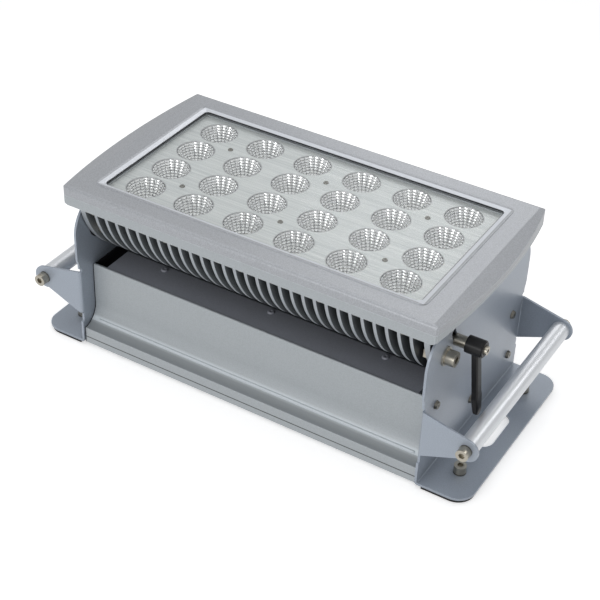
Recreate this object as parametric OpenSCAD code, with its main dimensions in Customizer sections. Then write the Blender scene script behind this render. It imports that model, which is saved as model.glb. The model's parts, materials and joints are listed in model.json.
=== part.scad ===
// Stage flood light: a tilting LED head on a long base, held between two bent side plates.
// Length along X, front towards -Y, up +Z, origin at the bottom centre.

/* [LED field] */
// Columns of LEDs along the length
led_columns = 6; // [4:1:8]
// Rows of LEDs across the depth
led_rows = 4; // [3:1:5]
// Spacing of the columns
led_pitch_x = 60; // [56:1:70]
// Spacing of the rows
led_pitch_y = 45.25; // [44.5:0.25:50]
// Mouth diameter of a reflector cup
cup_d = 42; // [34:1:42]
// Depth of a reflector cup
cup_depth = 26; // [20:1:27]
// Diameter of a cup at the LED
cup_neck_d = 14; // [12:1:18]
// Wall of a reflector cup
cup_wall = 0.8; // [0.6:0.1:1]
// Screws along the LED plate, in two rows
plate_screw_columns = 3; // [2:1:5]
// Spacing of the LED plate screws along the length
plate_screw_pitch = 120; // [120:60:120]

/* [Head] */
// From the outermost LED's cell to the edge of the glass opening, along the length
field_margin_x = 4; // [2:0.5:8]
// From the outermost LED's cell to the edge of the glass opening, across
field_margin_y = 3; // [0.5:0.5:6]
// Width of the frame's flat top at the ends
frame_end_w = 27; // [25:1:34]
// Width of the frame along front and rear
frame_side_w = 28.5; // [25:0.5:38]
// How far the ends bow out beyond the crease, in the middle
frame_bow = 17; // [9:0.5:18]
// How far the corners stand beyond the crease
frame_corner_out = 5; // [4:0.25:8]
// Slope of the upper end facets in degrees
facet_angle = 15; // [10:1:24]
// Slope of the lower end facets in degrees
lower_facet_angle = 25; // [12:1:30]
// Corner chamfer of the frame seen from above
frame_chamfer = 1.5; // [1:0.5:5]
// Edge radius along the frame's front and rear
frame_edge_r = 4; // [1:0.5:5]
// Thickness of the upper frame
bezel_t = 11; // [9.5:0.5:14]
// Thickness of the flange below it
flange_t = 11; // [9:0.5:14]
// Width of the bead round the glass along front and rear
bead_w_y = 7; // [5:0.5:12]
// Width of the bead at the ends
bead_w_x = 8; // [5:0.5:12]
// How far the bead's ridge stands above the frame
bead_h = 0.7; // [0.5:0.1:2]
// How far the bead falls from its ridge to the glass opening
bead_fall = 1.9; // [1:0.1:2]
// Thickness of the lip over the glass
lip_t = 0.6; // [0.4:0.1:1]
// Overlap of the lip over the glass
lip_over = 3.8; // [3:0.1:4.5]
// Thickness of the glass
glass_t = 3; // [2.5:0.25:3.5]
// Thickness of the rubber seal on the glass
seal_t = 0.8; // [0.6:0.1:1.5]
// How far the seal shows inside the lip
seal_show = 0.7; // [0.4:0.1:1.5]
// Gap between the LED plate and the glass, for the plate's screws
glass_gap = 1.3; // [1.2:0.1:2]
// Thickness of the LED plate
plate_t = 3; // [2:0.5:4]
// Width of the ledge that carries the LED plate along front and rear
ledge_w = 1.5; // [1.2:0.1:1.6]
// Wall of the LED chamber
chamber_wall = 5; // [3:0.5:6]
// Thickness of the LED chamber's floor
chamber_floor = 4; // [3:0.5:6]
// Thickness of the LED board
led_board_t = 1.6; // [1:0.2:2]
// Setback of the fins below the flange
fin_setback = 10.5; // [9:0.5:14]
// Pitch of the fins
fin_pitch = 13.2; // [11:0.1:16]
// Thickness of a fin
fin_t = 3.6; // [2.5:0.1:5]
// Height of the round head's centre above the flange's underside
axis_above_flange = 16.5; // [14:0.5:18]
// Thickness of the head's end walls
end_wall_t = 6; // [4:0.5:7]
// Thickness of the web that joins the fins
web_t = 5; // [3:0.5:8]

/* [Tilt] */
// Height of the tilt axis above the flange's underside
pivot_rise = 4; // [3:0.5:5]
// Diameter of the tilt journal
journal_d = 9.9; // [7.9:0.5:10.9]
// Radial clearance of the tilt journal and of the lever on its stud
run_gap = 0.05; // [0.03:0.01:0.08]
// Tilt each way from level in degrees
tilt_limit = 11; // [6:1:11]
// Radius of the clamp stud's path about the tilt axis
stud_path_r = 70; // [66:1:73]
// Angle of the clamp stud below level in degrees
stud_angle = 34; // [32:1:38]
// Thread diameter of the clamp stud
stud_d = 8; // [6:1:8]
// Clearance of the clamp stud in its slot, each side
slot_gap = 0.25; // [0.2:0.05:0.5]
// Radius of the guide bolt's place about the tilt axis
guide_path_r = 91.4; // [90:0.2:94]
// Angle of the guide bolt below level in degrees
guide_angle = 30.2; // [28:0.2:32]
// Thread diameter of the guide bolt
guide_d = 10; // [8:1:10]
// Diameter of the nylon disc on the guide bolt
guide_disc_d = 32; // [26:1:33]

/* [Base] */
// Height of the base walls
base_h = 93.3; // [85:0.1:110]
// Width of the base between its outer walls
base_w = 186; // [180:1:200]
// Wall of the base profile
base_wall = 3; // [2:0.5:4]
// Radius of the concave cove at the foot of the wall
cove_r = 23; // [20:0.5:26]
// How far the base's foot stands out from the wall
cove_out = 20; // [17:0.5:22]
// Radius of the raised rib on the cove
cove_rib_r = 1.3; // [0.8:0.1:2]
// Top of the cove above the underside
cove_top = 42; // [40:0.5:46]
// Height of the bottom cover's edge
tray_h = 7.8; // [6:0.2:10]
// Thickness of the bottom cover's floor
tray_t = 2.5; // [2:0.5:4]
// Shadow gap above the bottom cover
tray_gap = 0.4; // [0.2:0.1:1]
// Thickness of the deck below the top cover
deck_t = 2.5; // [2:0.5:3]
// Thickness of the top cover
lid_t = 2; // [1:0.5:3]
// Depth of the lid below the wall's lip
lid_drop = 1; // [0.5:0.25:2]
// Depth of the trough that clears the head
trough_depth = 12.8; // [10:0.2:16]
// Gap between the trough and the round head
trough_gap = 5.3; // [4.5:0.1:8]
// Open gap between the lid's ends and the end seals
lid_end_gap = 15.25; // [12:0.25:20]
// Depth of the black end caps below the deck
cap_drop = 8; // [4:1:12]
// Thickness of the seals under the side plates
end_seal_t = 1; // [0.5:0.25:2]
// Diameter of the screw ports in the profile
port_d = 9.4; // [8:0.2:10]
// Spacing of the lid screws
lid_screw_pitch = 136; // [100:1:150]

/* [Side plates] */
// Thickness of the side plates
sheet_t = 2.5; // [2:0.25:3]
// Gap between the head's end wall and the side plate
plate_gap = 1.75; // [1.5:0.05:1.9]
// How far the plate's upper part stays inside the frame's depth
plate_inset = 4; // [3.5:0.25:6]
// Gap between the plate's top edge and the frame
plate_top_gap = 3; // [2:0.5:5]
// Radius of the plate's top corners
plate_corner_r = 39; // [38:1:50]
// Radius of the plate's hub around the tilt axis
hub_r = 12; // [11:0.5:12]
// Bend radius of the sheet
bend_r = 1; // [0.5:0.25:2]
// Reach of the foot flange beyond the handle's axis
foot_reach = 8; // [6:1:20]
// Corner radius of the foot flange
foot_corner_r = 20; // [12:1:24]
// Width of the slot in the foot flange
mount_slot_w = 26; // [13:1:28]
// Length of the slot in the foot flange
mount_slot_l = 62; // [40:1:70]
// Height of the ears at the fold
ear_fold_h = 53.5; // [45:0.5:60]
// Height of the ears' lower edge at the fold
ear_fold_z = 40; // [36:1:46]
// Radius of the ears' rounded tips
ear_tip_r = 13; // [11:0.5:15]

/* [Handles and feet] */
// Diameter of the handle tubes
tube_d = 20; // [18:1:25]
// Wall of the handle tubes
tube_wall = 2; // [1:0.5:3]
// Distance of the handle's axis from the side plate
tube_reach = 47.25; // [46:0.25:60]
// Height of the handle's axis above the underside
tube_z = 69.5; // [66:0.5:74]
// Thread diameter of the handle and foot screws
frame_screw_d = 8; // [6:1:8]
// Head diameter of those screws
frame_screw_head_d = 13; // [12:0.5:14]
// Outer diameter of the washers below them
frame_washer_d = 13.5; // [13:0.5:18]
// Thickness of those washers
frame_washer_t = 1.5; // [1:0.25:2]
// Height of the rubber feet
foot_h = 4; // [3:0.5:10]
// Length of the rubber feet
foot_l = 53.5; // [44:0.5:58]
// Distance of the foot screws from the middle
foot_screw_y = 76.5; // [72:0.5:80]

/* [Clamping levers] */
// Diameter of the lever's insert
insert_d = 12.5; // [11.5:0.5:14]
// Length of the insert between plate and hub
insert_l = 12.65; // [11:0.05:16]
// Diameter of the lever's hub
lever_hub_d = 18; // [16:0.5:20]
// Length of the lever's hub
lever_hub_l = 18.4; // [17:0.1:20]
// Length of the lever from the stud's axis to its tip
lever_l = 80; // [60:1:84]
// Width of the lever's arm
lever_arm_w = 10.5; // [8:0.5:12]
// Width of the lever's tip
lever_tip_w = 13; // [11:0.5:14]
// Thickness of the lever's arm
lever_arm_t = 6.6; // [5:0.2:7]
// Gap between the lever's tip and the handle tube
lever_tube_gap = 3.6; // [3.5:0.1:6]
// Pull-out travel of the lever's arm
lever_travel = 3; // [2.5:0.1:3]

/* [Hidden] */
$fn = 72;
eps = 0.01;

// Places along the length
opening_x = led_columns * led_pitch_x / 2 + field_margin_x;
crease_x = opening_x + frame_end_w;
frame_corner_x = crease_x + frame_corner_out;
frame_mid_x = crease_x + frame_bow;
end_wall_out = crease_x - 6.5;
end_wall_in = end_wall_out - end_wall_t;
plate_in = end_wall_out + plate_gap;
plate_out = plate_in + sheet_t;
pocket_out = plate_out + plate_gap;
base_x = plate_in - end_seal_t;
lid_x = plate_in - end_seal_t - lid_end_gap;
tube_x = plate_out + tube_reach;
foot_out_x = tube_x + foot_reach;

// Places across
opening_y = led_rows * led_pitch_y / 2 + field_margin_y;
frame_y = opening_y + frame_side_w;
fin_edge_y = frame_y - fin_setback;
wall_y = base_w / 2;
cove_y = wall_y + cove_out;
plate_low_y = cove_y + sheet_t;
plate_up_y = max(frame_y - plate_inset, plate_low_y);
pocket_y = frame_y - 4.5;
bow_r = (pow(frame_y, 2) + pow(frame_mid_x - frame_corner_x, 2)) / (2 * (frame_mid_x - frame_corner_x));

// Heights above the floor
under = foot_h;
lip_z = under + base_h;
lid_z = lip_z - lid_drop;
deck_z = lid_z - lid_t;
trough_z = lip_z - trough_depth;
head_r = norm([fin_edge_y, axis_above_flange]);
head_z = trough_z + trough_gap + head_r;
trough_r = head_r + trough_gap;
flange_z = head_z - axis_above_flange;
seam_z = flange_z + flange_t;
bezel_z = seam_z + bezel_t;
pivot_z = flange_z + pivot_rise;
pocket_top = bezel_z - 5;
glass_top = bezel_z + bead_h - bead_fall - lip_t - seal_t;
glass_low = glass_top - glass_t;
led_plate_z = glass_low - glass_gap;
cup_low = led_plate_z - cup_depth;
chamber_z = cup_low - 9;
board_z = chamber_z + chamber_floor;
plate_top = flange_z - plate_top_gap;
tube_h = under + tube_z;
flange_top = under + cove_top - sqrt(pow(cove_r, 2) - pow(cove_r - cove_out, 2));

// Places about the tilt axis, front side
stud_y = -stud_path_r * cos(stud_angle);
stud_z = pivot_z - stud_path_r * sin(stud_angle);
guide_y = -guide_path_r * cos(guide_angle);
guide_z = pivot_z - guide_path_r * sin(guide_angle);

// Places of the LEDs
led_xs = [for (i = [0 : led_columns - 1]) (i - (led_columns - 1) / 2) * led_pitch_x];
led_ys = [for (j = [0 : led_rows - 1]) (j - (led_rows - 1) / 2) * led_pitch_y];
plate_screw_xs = [for (i = [0 : plate_screw_columns - 1])
    (i - (plate_screw_columns - 1) / 2) * plate_screw_pitch];
plate_screw_ys = [-led_pitch_y, led_pitch_y];

// Ledges and gaps around the glass
rim_x = opening_x + lip_over;
rim_y = opening_y + lip_over;
fit_gap = 0.2;
void_x = opening_x - 3;
void_y = opening_y - ledge_w;

// Lever stations along the stud
insert_in = plate_out + 0.1;
hub_in = plate_out + 0.1 + insert_l;
hub_out = hub_in + lever_hub_l;
spline_l = lever_travel - 0.1;
tip_out = tube_x - tube_d / 2 - lever_tube_gap;

// Screw ports of the base profile: [y, z]
port_top = [wall_y - port_d / 2, deck_z - port_d / 2 - 0.2];
port_low = [wall_y - 2, under + 30];
centre_screw_z = under + 31;

module rod_x(r, x0, x1, y, z) {
    translate([x0, y, z]) rotate([0, 90, 0]) cylinder(r = r, h = x1 - x0);
}

module rod_y(r, y0, y1, x, z) {
    translate([x, y1, z]) rotate([90, 0, 0]) cylinder(r = r, h = y1 - y0);
}

module block(x0, x1, y0, y1, z0, z1) {
    translate([x0, y0, z0]) cube([x1 - x0, y1 - y0, z1 - z0]);
}

// Extrudes a drawing in Y and Z along the length
module along_x(x0, x1) {
    translate([x0, 0, 0]) rotate([90, 0, 90]) linear_extrude(x1 - x0) children();
}

// Keeps the right-hand piece, or mirrors it to the left
module at_end(s) {
    if (s < 0) mirror([1, 0, 0]) children();
    else children();
}

module both_ends() {
    children();
    mirror([1, 0, 0]) children();
}

module front_and_rear() {
    children();
    mirror([0, 1, 0]) children();
}

module four_corners() {
    both_ends() front_and_rear() children();
}

// Slot along an arc, drawn in Y and Z about the tilt axis, on the front side
function out_dir(a) = [-cos(a), -sin(a)];
function along_dir(a) = [sin(a), -cos(a)];

module arc_slot(r, w, middle, half) {
    a0 = middle - half;
    a1 = middle + half;
    n = 24;
    m = 18;
    translate([0, pivot_z]) polygon(concat(
        [for (i = [0 : n]) (r + w / 2) * out_dir(a0 + (a1 - a0) * i / n)],
        [for (i = [1 : m - 1]) r * out_dir(a1)
            + w / 2 * (cos(180 * i / m) * out_dir(a1) + sin(180 * i / m) * along_dir(a1))],
        [for (i = [n : -1 : 0]) (r - w / 2) * out_dir(a0 + (a1 - a0) * i / n)],
        [for (i = [1 : m - 1]) r * out_dir(a0)
            - w / 2 * (cos(180 * i / m) * out_dir(a0) + sin(180 * i / m) * along_dir(a0))]));
}

module rounded_rect(x, y, r) {
    translate([-x, r - y]) square([2 * x, 2 * (y - r)]);
    translate([r - x, -y]) square([2 * (x - r), 2 * y]);
    for (sx = [-1, 1]) for (sy = [-1, 1])
        translate([sx * (x - r), sy * (y - r)]) circle(r = r);
}

// Plan of the frame: bowed ends and chamfered corners
module frame_plan() {
    lim = frame_mid_x + 1;
    cut = frame_corner_x + frame_y - frame_chamfer;
    intersection() {
        translate([frame_mid_x - bow_r, 0]) circle(r = bow_r, $fn = 1080);
        translate([bow_r - frame_mid_x, 0]) circle(r = bow_r, $fn = 1080);
        polygon([[lim, cut - lim], [cut - frame_y, frame_y], [frame_y - cut, frame_y], [-lim, cut - lim],
            [-lim, lim - cut], [frame_y - cut, -frame_y], [cut - frame_y, -frame_y], [lim, lim - cut]]);
    }
}

// Section of the frame across: round edges on top
module frame_section(z0, z1, r) {
    translate([-frame_y, z0]) square([2 * frame_y, z1 - r - z0]);
    translate([r - frame_y, z1 - r - eps]) square([2 * (frame_y - r), r + eps]);
    for (s = [-1, 1]) translate([s * (frame_y - r), z1 - r]) circle(r = r);
}

// Screw along Z: its head stands on z = 0 and its thread hangs below
module socket_screw(d, head_d, head_h, l) {
    difference() {
        union() {
            cylinder(d = head_d, h = head_h);
            translate([0, 0, -l]) cylinder(d = d, h = l);
        }
        translate([0, 0, head_h - 0.5 * d]) cylinder(d = 0.86 * d, h = d, $fn = 6);
    }
}

module pan_screw(d, head_d, head_h, l) {
    difference() {
        union() {
            cylinder(d1 = head_d, d2 = 0.8 * head_d, h = head_h);
            translate([0, 0, -l]) cylinder(d = d, h = l);
        }
        translate([0, 0, 0.3 * head_h]) cylinder(d = 0.6 * d, h = d, $fn = 6);
    }
}

module ring(d, hole, t) {
    difference() {
        cylinder(d = d, h = t);
        translate([0, 0, -1]) cylinder(d = hole, h = t + 2);
    }
}

// Base

module cove_half() {
    cy = wall_y + cove_r;
    cz = under + cove_top;
    difference() {
        union() {
            block(-base_x, base_x, wall_y - base_wall, wall_y, cz, lip_z - base_wall / 2);
            rod_x(base_wall / 2, -base_x, base_x, wall_y - base_wall / 2, lip_z - base_wall / 2);
            intersection() {
                rod_x(cove_r + base_wall, -base_x, base_x, cy, cz);
                block(-base_x, base_x, wall_y - base_wall, cove_y, under + tray_h + tray_gap, cz);
            }
            block(-base_x, base_x, cove_y - base_wall, cove_y, under + tray_h + tray_gap, under + 22);
            block(-base_x, base_x, cove_y - 17, cove_y, under + tray_h + tray_gap,
                under + tray_h + tray_gap + base_wall);
            rod_x(port_d / 2, -base_x, base_x, port_top[0], port_top[1]);
            rod_x(port_d / 2, -base_x, base_x, port_low[0], port_low[1]);
        }
        rod_x(cove_r, -base_x - 1, base_x + 1, cy, cz);
    }
    difference() {
        rod_x(cove_rib_r, 9 - base_x, base_x - 9, cy - cove_r * cos(45), cz - cove_r * sin(45));
        block(-base_x, base_x, 0, cy - cove_r * cos(45) - 2 * cove_rib_r, 0, cz);
    }
}

module deck_shape(x, r_in, r_out, z_top, t, half_y) {
    difference() {
        union() {
            block(-x, x, -half_y, half_y, z_top - t, z_top);
            intersection() {
                rod_x(r_out, -x, x, 0, head_z);
                block(-x, x, -half_y + 10, half_y - 10, trough_z - 20, z_top);
            }
        }
        rod_x(r_in, -x - 1, x + 1, 0, head_z);
    }
}

module base_housing() {
    color("#a3a8a8") difference() {
        union() {
            front_and_rear() cove_half();
            deck_shape(lid_x, trough_r + lid_t, trough_r + lid_t + deck_t, deck_z, deck_t,
                wall_y - base_wall + eps);
        }
        front_and_rear() for (p = [port_top, port_low])
            both_ends() rod_x(2, base_x - 16, base_x + 1, p[0], p[1]);
        for (x = rear_xs) rod_y(rear_hole_r, wall_y - 12, wall_y + 12, x, rear_z);
        block(display_x - 40, display_x + 40, wall_y - 12, wall_y + 12, rear_z - 14, rear_z + 14);
        rod_y(5, wall_y - 12, wall_y + 12, vent_x, rear_z);
        for (x = rear_xs) for (s = [-1, 1]) rod_y(1.5, wall_y - 12, wall_y + 12, x + s * 9.5, rear_z + s * 12);
        for (sx = [-1, 1]) for (sz = [-1, 1])
            rod_y(1.5, wall_y - 12, wall_y + 12, display_x + sx * 44.5, rear_z + sz * 13.5);
        translate([0, gland_y, deck_z - 8]) cylinder(r = 8, h = 12);
        for (x = lid_screw_xs) front_and_rear()
            translate([x, lid_screw_y, deck_z - 8]) cylinder(r = 2, h = 12);
        for (x = tray_screw_xs) front_and_rear()
            translate([x, cove_y - 5.75, under + tray_h - 1]) cylinder(r = 2, h = 6);
    }
}

module bottom_cover() {
    edge = 2.5;
    color("#9da2a2") difference() {
        union() {
            block(-base_x, base_x, -cove_y, cove_y, under, under + tray_t);
            front_and_rear() {
                block(-base_x, base_x, cove_y - edge, cove_y, under, under + tray_h);
                block(-base_x, base_x, cove_y - 9, cove_y - edge, under, under + tray_h + tray_gap);
            }
        }
        for (x = tray_screw_xs) front_and_rear()
            translate([x, cove_y - 5.75, under - 1]) cylinder(r = 2, h = 20);
        for (x = tray_screw_xs) front_and_rear()
            translate([x, cove_y - 5.75, under - 1]) cylinder(r = 4.3, h = 3.2);
    }
}

module top_cover() {
    color("#4c4d51") difference() {
        deck_shape(lid_x, trough_r, trough_r + lid_t, lid_z, lid_t, wall_y - base_wall - fit_gap);
        for (x = lid_screw_xs) front_and_rear()
            translate([x, lid_screw_y, lid_z - 8]) cylinder(r = 2, h = 12);
        translate([0, gland_y, lid_z - 8]) cylinder(r = 8, h = 12);
    }
}

lid_screw_xs = [-lid_screw_pitch, 0, lid_screw_pitch];
lid_screw_y = 0.63 * wall_y;
tray_screw_xs = [-160, -54, 54, 160];

module cover_screws() {
    color("#33343a") {
        for (x = lid_screw_xs) front_and_rear()
            translate([x, lid_screw_y, lid_z]) pan_screw(4, 8, 1.8, 7);
        for (x = tray_screw_xs) front_and_rear()
            translate([x, cove_y - 5.75, under + 2.2]) rotate([180, 0, 0]) pan_screw(4, 8, 1.8, 9);
    }
}

module end_cap(s) {
    top = deck_z - cap_drop;
    low = under + tray_t;
    color("#1b1c1e") at_end(s) difference() {
        union() {
            block(lid_x + fit_gap, lid_x + 4, -wall_y + base_wall + fit_gap, wall_y - base_wall - fit_gap, low, top);
            block(lid_x + fit_gap, base_x, -wall_y + base_wall + fit_gap, wall_y - base_wall - fit_gap, low, low + 4);
            block(lid_x + fit_gap, base_x, -wall_y + base_wall + fit_gap, wall_y - base_wall - fit_gap, top - 14, top);
            rod_x(7, lid_x + fit_gap, base_x, 0, centre_screw_z);
        }
        rod_x(trough_r, lid_x - 1, base_x + 1, 0, head_z);
        rod_x(2, base_x - 12, base_x + 1, 0, centre_screw_z);
        for (p = [port_top, port_low]) front_and_rear()
            rod_x(port_d / 2 + fit_gap, lid_x - 1, base_x + 1, p[0], p[1]);
    }
}

module end_cap_left() { end_cap(-1); }
module end_cap_right() { end_cap(1); }

// Outline of the base's end, in Y and Z
module base_outline() {
    cy = wall_y + cove_r;
    cz = under + cove_top;
    difference() {
        union() {
            translate([-wall_y, under]) square([2 * wall_y, base_h - 1]);
            translate([-cove_y, under]) square([2 * cove_y, cove_top]);
        }
        for (s = [-1, 1]) translate([s * cy, cz]) circle(r = cove_r);
    }
}

module end_gasket(s) {
    color("#18191b") at_end(s) difference() {
        along_x(base_x, plate_in) base_outline();
        rod_x(trough_r, base_x - 1, plate_in + 1, 0, head_z);
        plate_screw_holes(2.2);
    }
}

module end_gasket_left() { end_gasket(-1); }
module end_gasket_right() { end_gasket(1); }

module plate_screw_holes(r) {
    for (p = [port_top, port_low]) front_and_rear() rod_x(r, base_x - 1, plate_out + 1, p[0], p[1]);
    rod_x(r, base_x - 1, plate_out + 1, 0, centre_screw_z);
}

// Side plates

module plate_outline() {
    cy = plate_up_y - plate_corner_r;
    cz = plate_top - plate_corner_r;
    notch = under + ear_fold_z + ear_fold_h + 10;
    fold = under + sheet_t + bend_r;
    union() {
        polygon([[-plate_low_y, fold], [plate_low_y, fold], [plate_low_y, under + 28],
            [plate_low_y - 2.5, under + 29], [plate_low_y - 2.5, under + ear_fold_z - 2],
            [plate_low_y - sheet_t - bend_r, under + ear_fold_z - 2],
            [plate_low_y - sheet_t - bend_r, notch - 6], [plate_low_y, notch - 5],
            [plate_low_y, notch], [plate_up_y, notch + 8], [plate_up_y, cz], [-plate_up_y, cz],
            [-plate_up_y, notch + 8], [-plate_low_y, notch], [-plate_low_y, notch - 5],
            [sheet_t + bend_r - plate_low_y, notch - 6],
            [sheet_t + bend_r - plate_low_y, under + ear_fold_z - 2],
            [2.5 - plate_low_y, under + ear_fold_z - 2], [2.5 - plate_low_y, under + 29],
            [-plate_low_y, under + 28]]);
        translate([-cy, cz - 1]) square([2 * cy, plate_corner_r + 1]);
        for (s = [-1, 1]) translate([s * cy, cz]) circle(r = plate_corner_r, $fn = 120);
        translate([-hub_r, plate_top - 2]) square([2 * hub_r, pivot_z - plate_top + 2]);
        translate([0, pivot_z]) circle(r = hub_r);
    }
}

// Ear in X and Z, with straight edges that meet the round tip
module ear_outline() {
    x0 = plate_in + sheet_t + bend_r;
    low = under + ear_fold_z;
    high = low + ear_fold_h;
    up = atan2(high - tube_h, tube_x - x0) - asin(ear_tip_r / norm([high - tube_h, tube_x - x0]));
    down = atan2(tube_h - low, tube_x - x0) - asin(ear_tip_r / norm([tube_h - low, tube_x - x0]));
    polygon([[x0 - eps, low], [x0, low],
        [tube_x - ear_tip_r * sin(down), tube_h - ear_tip_r * cos(down)],
        [tube_x, tube_h],
        [tube_x + ear_tip_r * sin(up), tube_h + ear_tip_r * cos(up)],
        [x0, high], [x0 - eps, high]]);
    translate([tube_x, tube_h]) circle(r = ear_tip_r);
}

module side_plate(s) {
    r = bend_r + sheet_t;
    yc = plate_low_y - r;
    low = under + ear_fold_z;
    foot_y = plate_low_y - 0.5;
    color("#5f6873") at_end(s) difference() {
        union() {
            along_x(plate_in, plate_out) plate_outline();
            // Foot flange and its bend
            difference() {
                block(plate_in + r - eps, foot_out_x, -foot_y, foot_y, under, under + sheet_t);
                for (sy = [-1, 1]) translate([foot_out_x - foot_corner_r, sy * (foot_y - foot_corner_r), under - 1])
                    difference() {
                        translate([0, sy < 0 ? -foot_corner_r - 1 : 0, 0])
                            cube([foot_corner_r + 1, foot_corner_r + 1, 5 + sheet_t]);
                        translate([0, 0, -1]) cylinder(r = foot_corner_r, h = 8 + sheet_t);
                    }
            }
            intersection() {
                difference() {
                    rod_y(r, -foot_y, foot_y, plate_in + r, under + r);
                    rod_y(bend_r, -foot_y - 1, foot_y + 1, plate_in + r, under + r);
                }
                block(plate_in, plate_in + r, -foot_y, foot_y, under, under + r);
            }
            // Ears and their bends
            front_and_rear() {
                translate([0, plate_low_y, 0]) rotate([90, 0, 0])
                    linear_extrude(sheet_t) ear_outline();
                intersection() {
                    difference() {
                        translate([plate_in + r, yc, low]) cylinder(r = r, h = ear_fold_h);
                        translate([plate_in + r, yc, low - 1]) cylinder(r = bend_r, h = ear_fold_h + 2);
                    }
                    block(plate_in, plate_in + r, yc, yc + r, low, low + ear_fold_h);
                }
            }
        }
        // Slot of the clamp stud
        along_x(plate_in - 1, plate_out + 1)
            arc_slot(stud_path_r, stud_d + 2 * slot_gap, stud_angle, tilt_limit - 0.1);
        rod_x(bush_r, plate_in - 1, plate_out + 1, 0, pivot_z);
        rod_x(guide_d / 2 + 0.1, plate_in - 1, plate_out + 1, guide_y, guide_z);
        plate_screw_holes(2.6);
        // Slot in the foot flange
        translate([mount_slot_x, 0, under - 1]) {
            for (sy = [-1, 1]) translate([0, sy * (mount_slot_l - mount_slot_w) / 2, 0])
                cylinder(d = mount_slot_w, h = sheet_t + 2);
            translate([-mount_slot_w / 2, (mount_slot_w - mount_slot_l) / 2, 0])
                cube([mount_slot_w, mount_slot_l - mount_slot_w, sheet_t + 2]);
        }
        front_and_rear() {
            translate([foot_screw_x, foot_screw_y, under - 1])
                cylinder(d = frame_screw_d + 0.6, h = sheet_t + 2);
            rod_y(frame_screw_d / 2 + 0.3, plate_low_y - sheet_t - 1, plate_low_y + 1, tube_x, tube_h);
        }
    }
}

bush_r = journal_d / 2 + run_gap + 2;
mount_slot_x = (plate_out + foot_out_x) / 2 - 1.9;
foot_screw_x = foot_out_x - 26.5;

module side_plate_left() { side_plate(-1); }
module side_plate_right() { side_plate(1); }

module side_plate_screws() {
    color("#c9c4b4") both_ends() {
        for (p = [port_top, port_low]) front_and_rear()
            translate([plate_out, p[0], p[1]]) rotate([0, 90, 0]) pan_screw(4, 9.5, 3, 15);
        translate([plate_out, 0, centre_screw_z]) rotate([0, 90, 0]) pan_screw(4, 9.5, 3, 15);
    }
}

module handle_tube(s) {
    half = plate_low_y - sheet_t;
    color("#b9bcc2") at_end(s) difference() {
        rod_y(tube_d / 2, -half, half, tube_x, tube_h);
        rod_y(tube_d / 2 - tube_wall, 32 - half, half - 32, tube_x, tube_h);
        front_and_rear() rod_y(frame_screw_d / 2, half - 20, half + 1, tube_x, tube_h);
    }
}

module handle_tube_left() { handle_tube(-1); }
module handle_tube_right() { handle_tube(1); }

module handle_screws() {
    color("#c9c4b4") four_corners()
        translate([tube_x, plate_low_y + frame_washer_t, tube_h]) rotate([-90, 0, 0])
            socket_screw(frame_screw_d, frame_screw_head_d, frame_screw_d, 20);
}

module foot_screws() {
    color("#c9c4b4") four_corners()
        translate([foot_screw_x, foot_screw_y, under + sheet_t + frame_washer_t])
            socket_screw(frame_screw_d, frame_screw_head_d, frame_screw_d, sheet_t + frame_washer_t + foot_h - 1);
}

module frame_washers() {
    color("#8a8680") four_corners() {
        translate([tube_x, plate_low_y, tube_h]) rotate([-90, 0, 0])
            ring(frame_washer_d, frame_screw_d + 0.1, frame_washer_t);
        translate([foot_screw_x, foot_screw_y, under + sheet_t])
            ring(frame_washer_d, frame_screw_d + 0.1, frame_washer_t);
    }
}

module rubber_foot(sx, sy) {
    r = foot_corner_r - 1;
    x0 = plate_out + 4.25;
    x1 = foot_out_x - 1.5;
    y1 = plate_low_y - 2;
    color("#141416") mirror([0, sy < 0 ? 1 : 0, 0]) at_end(sx) difference() {
        union() {
            block(x0, x1, y1 - foot_l, y1 - r, 0, foot_h);
            block(x0, x1 - r, y1 - foot_l, y1, 0, foot_h);
            translate([x1 - r, y1 - r, 0]) cylinder(r = r, h = foot_h);
        }
        translate([foot_screw_x, foot_screw_y, 1]) cylinder(d = frame_screw_d, h = foot_h);
    }
}

module foot_front_left() { rubber_foot(-1, -1); }
module foot_front_right() { rubber_foot(1, -1); }
module foot_rear_left() { rubber_foot(-1, 1); }
module foot_rear_right() { rubber_foot(1, 1); }

// Guide bolts and tilt axis

guide_washer_t = 2;
guide_nut_h = 8;

module guide_bolts() {
    color("#c9c4b4") both_ends() translate([plate_out + guide_washer_t, guide_y, guide_z])
        rotate([0, 90, 0]) socket_screw(guide_d, 1.6 * guide_d, guide_d,
            guide_washer_t + sheet_t + plate_gap + end_wall_t + 1.6 + guide_nut_h);
}

module guide_washers() {
    color("#b8b4a8") both_ends() {
        translate([plate_out, guide_y, guide_z]) rotate([0, 90, 0])
            ring(2 * guide_d, guide_d + 0.1, guide_washer_t);
        translate([end_wall_in - 1.6, guide_y, guide_z]) rotate([0, 90, 0])
            ring(2 * guide_d, guide_d + 0.1, 1.5);
    }
}

module guide_discs() {
    color("#17181a") both_ends() translate([end_wall_out + 0.1, guide_y, guide_z]) rotate([0, 90, 0])
        ring(guide_disc_d, guide_d + 0.1, plate_gap - 0.1);
}

module guide_nuts() {
    color("#c9c4b4") both_ends() translate([end_wall_in - 1.6 - guide_nut_h, guide_y, guide_z])
        rotate([0, 90, 0]) difference() {
            cylinder(d = 1.85 * guide_d, h = guide_nut_h, $fn = 6);
            translate([0, 0, -1]) cylinder(d = guide_d, h = guide_nut_h + 2);
        }
}

module pivot_bushes() {
    color("#b08d57") both_ends() difference() {
        union() {
            rod_x(bush_r, plate_in - 1.4, plate_out + 0.6, 0, pivot_z);
            rod_x(bush_r + 2, plate_in - 1.4, plate_in, 0, pivot_z);
        }
        rod_x(journal_d / 2 + run_gap, plate_in - 3, plate_out + 2, 0, pivot_z);
    }
}

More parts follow.
